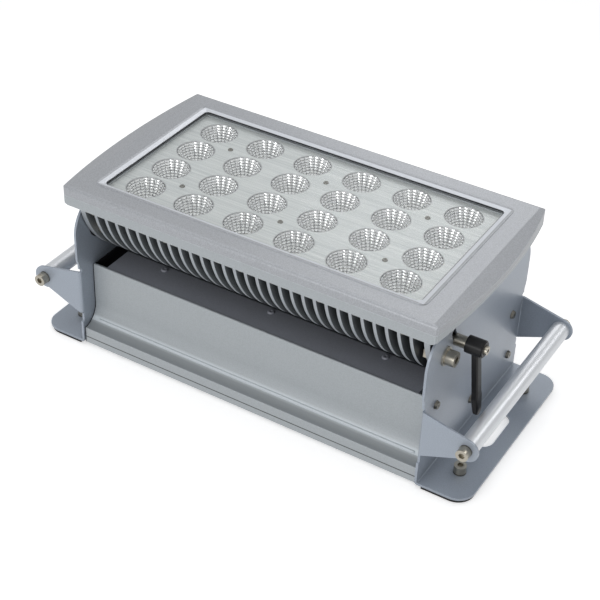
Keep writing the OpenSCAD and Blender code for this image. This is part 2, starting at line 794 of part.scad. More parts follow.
module pivot_pins() {
    color("#b9bcc2") both_ends() {
        rod_x(journal_d / 2 + 1.5, end_wall_in - 6, end_wall_out, 0, pivot_z);
        rod_x(journal_d / 2, end_wall_out - 1, plate_out + 0.8, 0, pivot_z);
    }
}

// Inside and rear of the base

module power_supply(s) {
    low = under + tray_t;
    color("#9a9c9f") at_end(s) difference() {
        block(20, 178, -80, 28, low, low + 50);
        for (i = [0 : 9]) block(40 + 12 * i, 46 + 12 * i, -60, 8, low + 48.5, low + 51);
    }
}

module power_supply_left() { power_supply(-1); }
module power_supply_right() { power_supply(1); }

board_posts = [for (x = [-62, 62]) for (y = [40, 76]) [x, y]];

module board_standoffs() {
    color("#b9bcc2") for (p = board_posts)
        translate([p[0], p[1], under + tray_t]) cylinder(d = 6, h = 10, $fn = 6);
}

module control_board() {
    low = under + tray_t + 10;
    color("#1f5a3a") {
        block(-70, 70, 34, 82, low, low + 1.6);
        block(-50, -30, 44, 60, low + 1.6 - eps, low + 9);
        block(10, 34, 46, 70, low + 1.6 - eps, low + 5);
        for (x = [-10, 48]) translate([x, 66, low + 1.6 - eps]) cylinder(d = 9, h = 14);
    }
}

rear_z = under + 59.5;
rear_xs = [-150, -100, -62];
rear_hole_r = 11.8;
display_x = 40;
vent_x = 150;
gland_y = 0.8 * wall_y;

module flange_plate(x, w, h, t) {
    block(x - w / 2, x + w / 2, wall_y, wall_y + t, rear_z - h / 2, rear_z + h / 2);
}

module connector_holes(x, w, h) {
    for (s = [-1, 1]) rod_y(1.6, wall_y - 14, wall_y + 5, x + s * (w / 2 - 3.5), rear_z + s * (h / 2 - 3.5));
}

module power_inlet() {
    x = rear_xs[0];
    color("#2b4f86") difference() {
        union() {
            flange_plate(x, 26, 31, 2);
            rod_y(11.5, wall_y - 22, wall_y + 3.5, x, rear_z);
        }
        rod_y(9.5, wall_y - 10, wall_y + 5, x, rear_z);
        connector_holes(x, 26, 31);
    }
    color("#2b4f86") difference() {
        rod_y(6.5, wall_y - 10.5, wall_y + 2, x, rear_z);
        for (a = [0, 120, 240]) rod_y(1.4, wall_y - 6, wall_y + 5, x + 3.6 * cos(a), rear_z + 3.6 * sin(a));
    }
}

module data_plug(x, holes) {
    color("#1d1e20") difference() {
        union() {
            flange_plate(x, 26, 31, 2);
            rod_y(11.5, wall_y - 22, wall_y + 2.5, x, rear_z);
        }
        rod_y(9.2, wall_y - (holes ? 10 : 1), wall_y + 5, x, rear_z);
        connector_holes(x, 26, 31);
    }
    if (!holes) color("#c9c4b4") for (i = [0 : 4]) {
        a = 54 * i - 18;
        rod_y(1.1, wall_y - 1 - eps, wall_y + 2, x + 5 * cos(a), rear_z + 5 * sin(a));
    }
    if (holes) color("#1d1e20") difference() {
        rod_y(8, wall_y - 10.5, wall_y + 1, x, rear_z);
        for (i = [0 : 4]) {
            a = 54 * i - 18;
            rod_y(1.3, wall_y - 7, wall_y + 3, x + 5 * cos(a), rear_z + 5 * sin(a));
        }
    }
}

module data_input() { data_plug(rear_xs[1], false); }
module data_output() { data_plug(rear_xs[2], true); }

module display_panel() {
    color("#17181a") difference() {
        union() {
            block(display_x - 48, display_x + 48, wall_y, wall_y + 2, rear_z - 17, rear_z + 17);
            block(display_x - 39.5, display_x + 39.5, wall_y - 10, wall_y + 1, rear_z - 13.5, rear_z + 13.5);
        }
        block(display_x - 34, display_x + 10, wall_y + 1.2, wall_y + 3, rear_z - 9, rear_z + 9);
        for (sx = [-1, 1]) for (sz = [-1, 1])
            rod_y(1.6, wall_y - 14, wall_y + 5, display_x + sx * 44.5, rear_z + sz * 13.5);
    }
    color("#b9bcc2") for (sx = [-1, 1]) for (sz = [-1, 1])
        rod_y(3.4, wall_y + 2 - eps, wall_y + 2.6, display_x + 29 + sx * 6, rear_z + sz * 6);
}

module panel_screws() {
    color("#c9c4b4") {
        for (x = rear_xs) for (s = [-1, 1])
            translate([x + s * 9.5, wall_y + 2, rear_z + s * 12]) rotate([-90, 0, 0]) pan_screw(3, 5.6, 1.6, 6);
        for (sx = [-1, 1]) for (sz = [-1, 1])
            translate([display_x + sx * 44.5, wall_y + 2, rear_z + sz * 13.5]) rotate([-90, 0, 0])
                pan_screw(3, 5.6, 1.6, 6);
    }
}

module vent_plug() {
    color("#1d1e20") {
        rod_y(4.9, wall_y - 8, wall_y + 1, vent_x, rear_z);
        translate([vent_x, wall_y + 5, rear_z]) rotate([90, 0, 0]) cylinder(d = 16, h = 5, $fn = 6);
    }
}

module gland(hex, h, shank) {
    difference() {
        union() {
            cylinder(d = hex, h = 4, $fn = 6);
            cylinder(d = 0.8 * hex, h = h);
            translate([0, 0, -shank]) cylinder(d = 15.8, h = shank + eps);
        }
        // The mouth, closed by a blanking disc
        translate([0, 0, h - 2]) cylinder(d = 7, h = 3);
    }
}

module base_cable_gland() {
    color("#1d1e20") translate([0, gland_y, lid_z]) gland(20, 12, 9);
}

// Head

fin_n = floor((end_wall_in - 8) / fin_pitch);

module round_head(x0, x1, r) {
    intersection() {
        rod_x(r, x0, x1, 0, head_z, $fn = 240);
        block(x0, x1, -r, r, head_z - r - 1, flange_z);
    }
}

module head_void() {
    block(-void_x, void_x, -void_y, void_y, board_z, bezel_z);
    block(-opening_x, opening_x, -opening_y, opening_y, led_plate_z - plate_t, bezel_z);
}

module head_flange() {
    color("#9ea3a4") difference() {
        union() {
            translate([0, 0, flange_z]) linear_extrude(flange_t) frame_plan();
            block(-rim_x + fit_gap, rim_x - fit_gap, -rim_y + fit_gap, rim_y - fit_gap, seam_z - 1, glass_low);
        }
        head_void();
        both_ends() {
            block(end_wall_out, pocket_out, -pocket_y, pocket_y, flange_z - 1, bezel_z);
            translate([crease_x, -frame_y - 10, flange_z]) rotate([0, -lower_facet_angle, 0])
                translate([0, 0, -30]) cube([60, 2 * frame_y + 20, 30]);
        }
        both_ends() rod_x(journal_d / 2 + 1.5, end_wall_in - 6, end_wall_out + 1, 0, pivot_z);
        for (p = bezel_screw_places) translate([p[0], p[1], flange_z - 1]) cylinder(r = 2.3, h = flange_t + 2);
    }
}

module heatsink_housing() {
    color("#9ea3a4") difference() {
        union() {
            // End walls, fins and web
            both_ends() round_head(end_wall_in, end_wall_out, head_r);
            for (k = [-fin_n : fin_n])
                round_head(k * fin_pitch - fin_t / 2, k * fin_pitch + fin_t / 2, head_r);
            block(-end_wall_in - 1, end_wall_in + 1, -web_t / 2, web_t / 2, head_z - head_r + 5, chamber_z + 1);
            // LED chamber
            block(-void_x - chamber_wall, void_x + chamber_wall, -void_y - chamber_wall, void_y + chamber_wall,
                chamber_z, flange_z);
            // Bosses of the tilt pins and clamp studs
            both_ends() {
                rod_x(journal_d / 2 + 6, end_wall_in - 6, end_wall_in + 1, 0, pivot_z - 5);
                rod_x(9, end_wall_in - 3, end_wall_in + 1, stud_y, stud_z);
            }
        }
        block(-end_wall_out - 1, end_wall_out + 1, -head_r, head_r, flange_z, bezel_z);
        head_void();
        both_ends() {
            rod_x(journal_d / 2 + 1.5, end_wall_in - 6, end_wall_out + 1, 0, pivot_z);
            rod_x(stud_d / 2, end_wall_in - 8, end_wall_out + 1, stud_y, stud_z);
            along_x(end_wall_in - 1, end_wall_out + 1)
                arc_slot(guide_path_r, guide_d + 1, guide_angle, tilt_limit + 0.5);
        }
        // Room for the cable gland behind the chamber
        block(-17, 17, void_y + chamber_wall, frame_y, gland_z - 13, flange_z);
        rod_y(7.9, void_y - 1, frame_y - 1, 0, gland_z);
    }
}

gland_z = flange_z - 12;
bezel_screw_places = [for (s = [-1, 1]) for (x = [-180, -90, 0, 90, 180]) [x, s * (frame_y - 5)]];

// Room above the bead's slope, from the opening's edge to its ridge
module slope_outline(inner, outer) {
    top = bezel_z + bead_h;
    polygon([[-outer, top], [-inner, top - bead_fall], [inner, top - bead_fall], [outer, top],
        [outer, top + 5], [-outer, top + 5]]);
}

module bezel_frame() {
    color("#bdbdc0") difference() {
        union() {
            intersection() {
                translate([0, 0, seam_z]) linear_extrude(bezel_t) frame_plan();
                along_x(-frame_mid_x - 1, frame_mid_x + 1) frame_section(seam_z, bezel_z, frame_edge_r);
            }
            translate([0, 0, bezel_z - 1]) linear_extrude(1 + bead_h)
                rounded_rect(opening_x + bead_w_x, opening_y + bead_w_y, 8);
        }
        both_ends() {
            translate([crease_x, -frame_y - 10, bezel_z]) rotate([0, facet_angle, 0])
                cube([60, 2 * frame_y + 20, 30]);
            block(end_wall_out, pocket_out, -pocket_y, pocket_y, seam_z - 1, pocket_top);
        }
        translate([0, 0, seam_z - 1]) linear_extrude(bezel_t + 10) rounded_rect(opening_x, opening_y, 5);
        // The bead's slope down to the glass
        intersection() {
            rotate([90, 0, 0]) translate([0, 0, -frame_y]) linear_extrude(2 * frame_y)
                slope_outline(opening_x, opening_x + bead_w_x - 0.6);
            along_x(-frame_mid_x, frame_mid_x) slope_outline(opening_y, opening_y + bead_w_y - 0.6);
            translate([0, 0, bezel_z - 3]) linear_extrude(20)
                rounded_rect(opening_x + bead_w_x - 0.6, opening_y + bead_w_y - 0.6, 7.4);
        }
        block(-rim_x, rim_x, -rim_y, rim_y, seam_z - 1, glass_top + seal_t);
        for (p = bezel_screw_places) translate([p[0], p[1], seam_z - 1]) cylinder(r = 2, h = 7.5);
    }
}

module lens_gasket() {
    color("#2c2f34") difference() {
        block(-rim_x + fit_gap, rim_x - fit_gap, -rim_y + fit_gap, rim_y - fit_gap, glass_top, glass_top + seal_t);
        block(-opening_x + seal_show, opening_x - seal_show, -opening_y + seal_show, opening_y - seal_show,
            glass_top - 1, glass_top + seal_t + 1);
    }
}

module cover_glass() {
    color("#dfe6ea", 0.3)
        block(-rim_x + fit_gap, rim_x - fit_gap, -rim_y + fit_gap, rim_y - fit_gap, glass_low, glass_top);
}

module led_plate() {
    color("#c4c8cb") difference() {
        block(-opening_x + fit_gap, opening_x - fit_gap, -opening_y + fit_gap, opening_y - fit_gap,
            led_plate_z - plate_t, led_plate_z);
        for (x = led_xs) for (y = led_ys)
            translate([x, y, led_plate_z - plate_t - 1]) cylinder(d = cup_d + 0.2, h = plate_t + 2, $fn = 96);
        for (x = plate_screw_xs) for (y = plate_screw_ys)
            translate([x, y, led_plate_z - plate_t - 1]) cylinder(r = 1.6, h = plate_t + 2);
    }
}

module led_plate_screws() {
    color("#8d8f92") for (x = plate_screw_xs) for (y = plate_screw_ys)
        translate([x, y, led_plate_z]) pan_screw(3, 6, 1.1, led_plate_z - board_z - led_board_t + 1);
}

// Cup wall: its radius grows with the root of the height
function cup_r(t) = cup_neck_d / 2 + (cup_d - cup_neck_d) / 2 * pow(t, 0.62);

module cup() {
    steps = 10;
    rotate_extrude($fn = 64) polygon(concat(
        [for (i = [0 : steps]) [cup_r(i / steps) - cup_wall, i / steps * cup_depth]],
        [for (i = [steps : -1 : 0]) [cup_r(i / steps), i / steps * cup_depth]]));
}

module reflectors(row) {
    color("#e4e7ea") if (row < led_rows) for (x = led_xs) translate([x, led_ys[row], cup_low]) cup();
}

module reflectors_row_1() { reflectors(0); }
module reflectors_row_2() { reflectors(1); }
module reflectors_row_3() { reflectors(2); }
module reflectors_row_4() { reflectors(3); }

module led_board() {
    color("#e8e8e4") difference() {
        block(-void_x + 2, void_x - 2, -void_y + 2, void_y - 2, board_z, board_z + led_board_t);
        for (x = plate_screw_xs) for (y = plate_screw_ys)
            translate([x, y, board_z - 1]) cylinder(r = 1.5, h = led_board_t + 2);
    }
}

module leds() {
    color("#e6dd9a") for (x = led_xs) for (y = led_ys) translate([x, y, board_z + led_board_t]) {
        cylinder(d = cup_neck_d - 2.5, h = cup_low - board_z - led_board_t);
        translate([0, 0, cup_low - board_z - led_board_t - eps]) cylinder(d1 = 9, d2 = 6, h = 2);
    }
}

module bezel_screws() {
    color("#8d8f92") for (p = bezel_screw_places)
        translate([p[0], p[1], flange_z]) rotate([180, 0, 0]) pan_screw(4, 7.5, 2.5, flange_t + 6);
}

module clamp_studs() {
    color("#c9c4b4") both_ends() {
        rod_x(stud_d / 2, end_wall_in - 8, insert_in + insert_l - 2.4, stud_y, stud_z);
        translate([end_wall_in - 9, stud_y, stud_z]) rotate([0, 90, 0]) cylinder(d = 14, h = 6, $fn = 6);
    }
}

module head_cable_gland() {
    color("#1d1e20") translate([0, void_y + chamber_wall, gland_z]) rotate([-90, 0, 0]) gland(18, 10, chamber_wall);
}

// Clamping levers

module star(r) {
    n = 16;
    polygon([for (i = [0 : 2 * n - 1])
        (r + (i % 2 == 0 ? 0.35 : -0.35)) * [cos(180 * i / n), sin(180 * i / n)]]);
}

module lever_insert(s) {
    color("#c9c4b4") at_end(s) difference() {
        union() {
            rod_x(insert_d / 2, insert_in, hub_in, stud_y, stud_z);
            translate([hub_in - eps, stud_y, stud_z]) rotate([0, 90, 0]) linear_extrude(spline_l + eps) star(5.1);
            rod_x(4.5, hub_in, hub_in + 6.5, stud_y, stud_z);
        }
        rod_x(stud_d / 2 + run_gap, insert_in - 1, hub_in - 2, stud_y, stud_z);
        rod_x(2.5, hub_in + 0.5, hub_in + 8, stud_y, stud_z);
    }
}

module lever_insert_left() { lever_insert(-1); }
module lever_insert_right() { lever_insert(1); }

screw_head_in = hub_out - 1.3;

module lever_screw(s) {
    color("#c9c4b4") at_end(s) translate([screw_head_in, stud_y, stud_z]) rotate([0, 90, 0])
        socket_screw(5, 9.2, 4.3, screw_head_in - hub_in - 1);
}

module lever_screw_left() { lever_screw(-1); }
module lever_screw_right() { lever_screw(1); }

// Pad across the arm: a disc with softened rims
module arm_pad(w, t, x_out, drop) {
    translate([x_out - t, stud_y, stud_z - drop]) rotate([0, 90, 0]) {
        translate([0, 0, 1]) cylinder(d = w, h = t - 2, $fn = 28);
        cylinder(d = w - 2, h = t, $fn = 28);
    }
}

module lever_handle(s) {
    root_out = hub_out - 6;
    mid = 0.7 * lever_l;
    tip = lever_l - 0.4 * lever_tip_w;
    lean = (tip_out - root_out) / tip;
    color("#131315") at_end(s) difference() {
        union() {
            rod_x(lever_hub_d / 2, hub_in + 0.1, hub_out - 1, stud_y, stud_z);
            rod_x(lever_hub_d / 2 - 1, hub_out - 1 - eps, hub_out, stud_y, stud_z);
            hull() {
                arm_pad(lever_arm_w, lever_arm_t, root_out, 0);
                arm_pad(lever_arm_w, lever_arm_t, root_out + lean * mid, mid);
            }
            hull() {
                arm_pad(lever_arm_w, lever_arm_t, root_out + lean * (mid - 3), mid - 3);
                arm_pad(lever_tip_w, lever_arm_t, root_out + lean * (mid + 3), mid + 3);
                arm_pad(0.8 * lever_tip_w, lever_arm_t - 1, tip_out, tip);
            }
        }
        translate([hub_in - 1, stud_y, stud_z]) rotate([0, 90, 0]) linear_extrude(spline_l + 1.5) star(5.2);
        rod_x(5.8, hub_in + spline_l + 0.4, hub_in + 9.5, stud_y, stud_z);
        rod_x(2.55, hub_in + 8, hub_out + 1, stud_y, stud_z);
        rod_x(5, hub_in + 12, hub_out + 1, stud_y, stud_z);
    }
}

module lever_handle_left() { lever_handle(-1); }
module lever_handle_right() { lever_handle(1); }

base_housing();
bottom_cover();
top_cover();
cover_screws();
end_cap_left();
end_cap_right();
end_gasket_left();
end_gasket_right();
side_plate_left();
side_plate_right();
side_plate_screws();
handle_tube_left();
handle_tube_right();
handle_screws();
frame_washers();
foot_front_left();
foot_front_right();
foot_rear_left();
foot_rear_right();
foot_screws();
guide_bolts();
guide_washers();
guide_discs();
guide_nuts();
pivot_bushes();
power_supply_left();
power_supply_right();
control_board();
board_standoffs();
power_inlet();
data_input();
data_output();
display_panel();
panel_screws();
vent_plug();
base_cable_gland();
heatsink_housing();
head_flange();
bezel_frame();
lens_gasket();
cover_glass();
led_plate();
led_plate_screws();
reflectors_row_1();
reflectors_row_2();
reflectors_row_3();
reflectors_row_4();
led_board();
leds();
bezel_screws();
pivot_pins();
clamp_studs();
head_cable_gland();
lever_insert_left();
lever_screw_left();
lever_handle_left();
lever_insert_right();
lever_screw_right();
lever_handle_right();
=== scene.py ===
import json
import math

import bpy
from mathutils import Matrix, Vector


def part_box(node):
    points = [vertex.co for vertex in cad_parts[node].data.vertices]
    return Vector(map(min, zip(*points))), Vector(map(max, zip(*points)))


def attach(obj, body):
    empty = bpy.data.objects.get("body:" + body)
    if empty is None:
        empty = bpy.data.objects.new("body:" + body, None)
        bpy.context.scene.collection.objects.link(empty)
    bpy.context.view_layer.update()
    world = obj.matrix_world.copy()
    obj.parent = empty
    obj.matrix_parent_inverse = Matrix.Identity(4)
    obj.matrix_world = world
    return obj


# Stage flood light: finishes, reflector facets, studio and camera. Metres, front towards -Y, up +Z.

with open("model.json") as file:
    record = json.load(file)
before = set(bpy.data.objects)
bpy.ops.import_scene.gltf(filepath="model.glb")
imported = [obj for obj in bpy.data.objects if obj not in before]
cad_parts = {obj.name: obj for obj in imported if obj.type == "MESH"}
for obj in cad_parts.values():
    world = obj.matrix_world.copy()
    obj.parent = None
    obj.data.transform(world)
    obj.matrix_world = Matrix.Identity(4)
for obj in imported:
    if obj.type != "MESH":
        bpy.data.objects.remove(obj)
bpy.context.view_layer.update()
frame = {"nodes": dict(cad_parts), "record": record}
nodes = frame["nodes"]
print("frame loaded:", len(nodes), "solids")


# Node trees and shader maths.

class Wire:
    # A number socket that takes arithmetic.

    def __init__(self, graph, socket):
        self.graph = graph
        self.socket = socket

    def combine(self, operation, *values, clamped=False):
        settings = {"operation": operation, "use_clamp": clamped}
        inputs = {"_%d" % k: value for k, value in enumerate(values)}
        return self.graph.wire("ShaderNodeMath", 0, settings, **inputs)

    def __add__(self, other):
        return self.combine("ADD", self, other)

    def __radd__(self, other):
        return self.combine("ADD", other, self)

    def __sub__(self, other):
        return self.combine("SUBTRACT", self, other)

    def __rsub__(self, other):
        return self.combine("SUBTRACT", other, self)

    def __mul__(self, other):
        return self.combine("MULTIPLY", self, other)

    def __rmul__(self, other):
        return self.combine("MULTIPLY", other, self)

    def __abs__(self):
        return self.combine("ABSOLUTE", self)

    def clamp(self):
        return self.combine("ADD", self, 0.0, clamped=True)

    def step(self, low, high):
        # Smooth step from 0 at low to 1 at high.
        settings = {"interpolation_type": "SMOOTHSTEP"}
        limits = {"From_Min": low, "From_Max": high}
        return self.graph.wire("ShaderNodeMapRange", "Result", settings, Value=self, **limits)


class Graph:
    # A node tree, whose new nodes all come from one method.

    def __init__(self, tree):
        self.tree = tree

    def plug(self, value, slot):
        # Links a wire or a socket, and sets anything else as a plain value.
        if isinstance(value, Wire):
            value = value.socket
        if isinstance(value, bpy.types.NodeSocket):
            self.tree.links.new(value, slot)
        else:
            slot.default_value = value

    def node(self, kind, settings=None, **values):
        # A socket is given by its name, with _ for a space, or by its number after a leading _.
        made = self.tree.nodes.new(kind)
        for key, value in (settings or {}).items():
            setattr(made, key, value)
        for key, value in values.items():
            socket = int(key[1:]) if key.startswith("_") else key.replace("_", " ")
            self.plug(value, made.inputs[socket])
        return made

    def wire(self, kind, output, settings=None, **values):
        return Wire(self, self.node(kind, settings, **values).outputs[output])

    def mix(self, factor, first, second):
        # Colour mix, whose colours are sockets 6 and 7.
        made = self.node("ShaderNodeMix", {"data_type": "RGBA"}, _0=factor, _6=first, _7=second)
        return made.outputs[2]


class Finish(Graph):
    # One material: fixed values go on its shader's own sockets, feed links what varies.

    def __init__(self, name, **fixed):
        self.material = bpy.data.materials.new(name)
        self.material.use_nodes = True
        super().__init__(self.material.node_tree)
        self.shader = self.tree.nodes["Principled BSDF"]
        self.feed(**fixed)
        self.place = self.node("ShaderNodeTexCoord").outputs["Object"]

    def feed(self, **values):
        for key, value in values.items():
            self.plug(value, self.shader.inputs[key.replace("_", " ")])

    def along(self, axis):
        return self.wire("ShaderNodeSeparateXYZ", axis, Vector=self.place)

    def noise(self, scale, detail=3.0, rough=0.55, stretch=(1, 1, 1)):
        look = {"Scale": scale, "Detail": detail, "Roughness": rough}
        mapped = self.node("ShaderNodeMapping", Vector=self.place, Scale=stretch).outputs[0]
        return self.wire("ShaderNodeTexNoise", "Fac", Vector=mapped, **look)

    def edges(self, radius):
        # Rounded normal, and a mask that is 0 on flat faces and grows at sharp edges.
        soft = self.node("ShaderNodeBevel", {"samples": 4}, Radius=radius).outputs[0]
        sharp = self.node("ShaderNodeNewGeometry").outputs["True Normal"]
        same = self.wire("ShaderNodeVectorMath", "Value", {"operation": "DOT_PRODUCT"}, _0=soft, _1=sharp)
        return soft, (1 - same).clamp()

    def bump(self, height, strength, distance, **normal):
        made = self.node("ShaderNodeBump", Height=height, Strength=strength, Distance=distance, **normal)
        self.feed(Normal=made.outputs[0])


def rgb(red, green, blue):
    # Linear colour from screen values of 0 to 255.
    def linear(value):
        value = value / 255
        return value / 12.92 if value <= 0.04045 else ((value + 0.055) / 1.055) ** 2.4
    return (linear(red), linear(green), linear(blue), 1.0)


def scaled(colour, share):
    return (colour[0] * share, colour[1] * share, colour[2] * share, 1.0)


# Powder paints. The first dictionary holds what the others leave as it is. A scale is that of a noise,
# steps are where a mask starts and ends, and bump is strength and depth. All tones but a paint's own are
# multiples of that one.

powder = {
    "coat": 0.0,
    "coatRough": 0.25,
    "metal": 0.0,
    "peelScale": 420,
    "bump": (0.14, 0.0004),
    "cloudScale": 14,
    "cloud": 0.05,  # drift of the tone
    "dustScale": 900,
    "dustSteps": (0.35, 0.65),
    "dustTone": 1.12,
    "wearScale": 220,
    "wearSteps": (0.35, 0.6),
    "wearAndHighlightReach": 0.0006,  # from an edge, for the rubbed wear and the painted edge highlight
    "wearAndHighlightGain": 3.0,
    "wearAndHighlightTone": 1.25,
    "cornerShadeReach": 0.03,  # how near walls paint shade on each other
    "cornerShadeSteps": (0.25, 0.95),
    "cornerShadeShare": 0.5,
    "cornerShadeTone": 0.12,
    "roughDrop": 0.05,
    "roughCloud": 0.1,
    "roughDust": 0.06,
    # painted highlight ring, off by default
    "ring": None,
    # painted highlight and shade bands, none by default
    "paintedLightBands": {},
    "bandStart": 0.0006,
}

paints = {
    "housingPaint": {
        "tone": rgb(170, 176, 180), "rough": 0.46, "coat": 0.3, "metal": 0.15,
        # Painted highlight: strong pale lines along the housing's sharp edges.
        "wearAndHighlightReach": 0.001, "wearAndHighlightGain": 10.0, "wearAndHighlightTone": 1.9, "cornerShadeShare": 0.1, "cornerShadeReach": 0.006,
        "paintedLightBands": {  # painted highlight and shade bands, at heights on the coved foot
            "rib": {"low": 0.0286, "high": 0.0308, "fade": 0.003, "tone": 1.7},
            "hollowShade": {"low": 0.0236, "high": 0.0264, "fade": 0.0018, "tone": 0.74},
            "jointShade": {"low": 0.0116, "high": 0.0124, "fade": 0.0005, "tone": 0.3},
        },
    },
    "finPaint": {
        "tone": rgb(168, 174, 179), "rough": 0.42, "coat": 0.1, "metal": 0.2,
        # Painted shade fills the gaps between the fins.
        "wearAndHighlightTone": 1.4, "cornerShadeShare": 1.0, "cornerShadeReach": 0.04,
    },
    "bezelPaint": {
        "tone": rgb(163, 166, 171), "rough": 0.4, "coat": 0.15, "metal": 0.35, "dustTone": 1.26,
        # Painted highlight: strong pale lines along the bezel's edges and creases.
        "wearAndHighlightReach": 0.0012, "wearAndHighlightGain": 14.0, "wearAndHighlightTone": 1.55, "cornerShadeShare": 0.1,
        "ring": {"half": (0.1885, 0.0972), "fade": 0.0008, "tone": 1.9},  # painted highlight on the bead's inner slope
    },
    "platePaint": {
        "tone": rgb(160, 169, 181), "rough": 0.4, "coat": 0.25, "metal": 0.2, "peelScale": 340,
        "wearAndHighlightReach": 0.0008, "wearAndHighlightTone": 1.9, "cornerShadeReach": 0.05,
    },
    "lidPaint": {
        "tone": rgb(146, 149, 158), "rough": 0.5, "peelScale": 460, "wearAndHighlightTone": 1.3, "cornerShadeShare": 0.15,
    },
}


def paint(name):
    # Orange peel, slow clouding, fine dust, edges paler from rubbed wear in patches and a painted
    # highlight, and painted shade in corners. Some paints also have a painted highlight ring round an
    # opening, or painted highlight and shade bands between two heights.
    look = {**powder, **paints[name]}
    tone, cloud = look["tone"], look["cloud"]
    made = Finish(name, Metallic=look["metal"], Coat_Weight=look["coat"], Coat_Roughness=look["coatRough"])
    rounded, rubAndHighlight = made.edges(look["wearAndHighlightReach"])
    peel = made.noise(look["peelScale"], 4)
    slow = made.noise(look["cloudScale"], 3)
    dust = made.noise(look["dustScale"], 2, 0.6)
    patches = 0.5 + 0.5 * made.noise(look["wearScale"], 3).step(*look["wearSteps"])
    clouded = made.mix(slow, scaled(tone, 1 - cloud), scaled(tone, 1 + cloud))
    dusted = made.mix(dust.step(*look["dustSteps"]), clouded, scaled(tone, look["dustTone"]))
    # Edges paler: rubbed wear in patches, and a painted highlight along every sharp edge and crease.
    wornAndHighlit = made.mix((rubAndHighlight * look["wearAndHighlightGain"]).clamp() * patches, dusted, scaled(tone, look["wearAndHighlightTone"]))
    # Painted highlight round the glass opening.
    if look["ring"]:
        wornAndHighlit = ringed(made, wornAndHighlit, tone, look["ring"])
    # Painted light: each band lightens or darkens the paint between two heights, a painted highlight on
    # the rib and painted shade in the hollow and in the joint.
    for paintedBand in look["paintedLightBands"].values():
        above = made.along("Z").step(paintedBand["low"] - look["bandStart"], paintedBand["low"])
        below = 1 - made.along("Z").step(paintedBand["high"], paintedBand["high"] + paintedBand["fade"])
        wornAndHighlit = made.mix(above * below, wornAndHighlit, scaled(tone, paintedBand["tone"]))
    # Painted shade: corners, crevices and gaps between fins darkened by ambient occlusion.
    clear = made.wire("ShaderNodeAmbientOcclusion", "AO", {"samples": 4}, Distance=look["cornerShadeReach"])
    cornerShade = (1 - clear).step(*look["cornerShadeSteps"]) * look["cornerShadeShare"]
    made.feed(Base_Color=made.mix(cornerShade, wornAndHighlit, scaled(tone, look["cornerShadeTone"])))
    smooth = look["rough"] - look["roughDrop"]
    made.feed(Roughness=smooth + look["roughCloud"] * slow + look["roughDust"] * (dust - 0.5))
    made.bump(peel, *look["bump"], Normal=rounded)
    return made.material


def ringed(made, under, tone, ring):
    # Painted highlight: another tone inside a rectangle about the middle, as seen from above.
    insideX, insideY = [
        1 - abs(made.along(axis)).step(half, half + ring["fade"]) for axis, half in zip("XY", ring["half"])
    ]
    return made.mix(insideX * insideY, under, scaled(tone, ring["tone"]))


# Bare metals. Grain is the noise's scale along X, Y and Z, and is low along the draw or grind lines.

bright = {
    "metal": 1.0,
    "bump": (0.05, 0.0002),
    "cloudScale": 30,
    "wearAndHighlightReach": 0.0003,
    "wearAndHighlightTone": 1.15,
    "roughDrop": 0.05,
    "roughLines": 0.08,
    "roughCloud": 0.05,
}

metals = {
    "nickelSteel": {"tone": rgb(178, 173, 161), "rough": 0.3, "grain": (500, 500, 500), "streak": 0.14},
    "darkSteel": {"tone": rgb(120, 118, 112), "rough": 0.36, "grain": (400, 400, 400), "streak": 0.2},
    "tubeAluminium": {
        "tone": rgb(228, 231, 235), "rough": 0.35, "grain": (700, 3, 700), "streak": 0.05,
        "metal": 0.5, "bump": (0.04, 0.0002),
    },
    "sheetMetal": {"tone": rgb(184, 186, 188), "rough": 0.4, "grain": (6, 300, 6), "streak": 0.08},
    "brass": {"tone": rgb(205, 172, 112), "rough": 0.32, "grain": (20, 500, 500), "streak": 0.1},
}


def bareMetal(name):
    look = {**bright, **metals[name]}
    tone, streak = look["tone"], look["streak"]
    made = Finish(name, Metallic=look["metal"])
    rounded, rubAndHighlight = made.edges(look["wearAndHighlightReach"])
    lines = made.noise(1.0, 5, 0.65, look["grain"])
    slow = made.noise(look["cloudScale"], 2)
    lined = made.mix(lines, scaled(tone, 1 - streak), scaled(tone, 1 + streak))
    # Edges paler: rubbed wear and a painted highlight along sharp edges.
    made.feed(Base_Color=made.mix(rubAndHighlight, lined, scaled(tone, look["wearAndHighlightTone"])))
    smooth = look["rough"] - look["roughDrop"]
    made.feed(Roughness=smooth + look["roughLines"] * lines + look["roughCloud"] * slow)
    made.bump(lines, *look["bump"], Normal=rounded)
    return made.material


# Moulded plastics and rubbers.

mould = {
    "coat": 0.0,
    "coatRough": 0.12,
    "specular": 0.3,
    "bump": (0.12, 0.0003),
    "cloudScale": 25,
    "cloudTones": (0.85, 1.2),
    "wearAndHighlightReach": 0.0004,
    "wearAndHighlightGain": 2,
    "wearAndHighlightTone": 1.6,
    "roughDrop": 0.06,
    "roughSpark": 0.12,
}

plastics = {
    "blackPlastic": {"tone": rgb(26, 26, 29), "rough": 0.5, "sparkScale": 700},
    "leverPlastic": {"tone": rgb(18, 18, 20), "rough": 0.45, "sparkScale": 520, "coat": 0.1},
    "sealRubber": {"tone": rgb(30, 31, 34), "rough": 0.62, "sparkScale": 900},
    "footRubber": {"tone": rgb(24, 24, 26), "rough": 0.7, "sparkScale": 600},
    "inletPlastic": {"tone": rgb(43, 79, 134), "rough": 0.42, "sparkScale": 700},
}


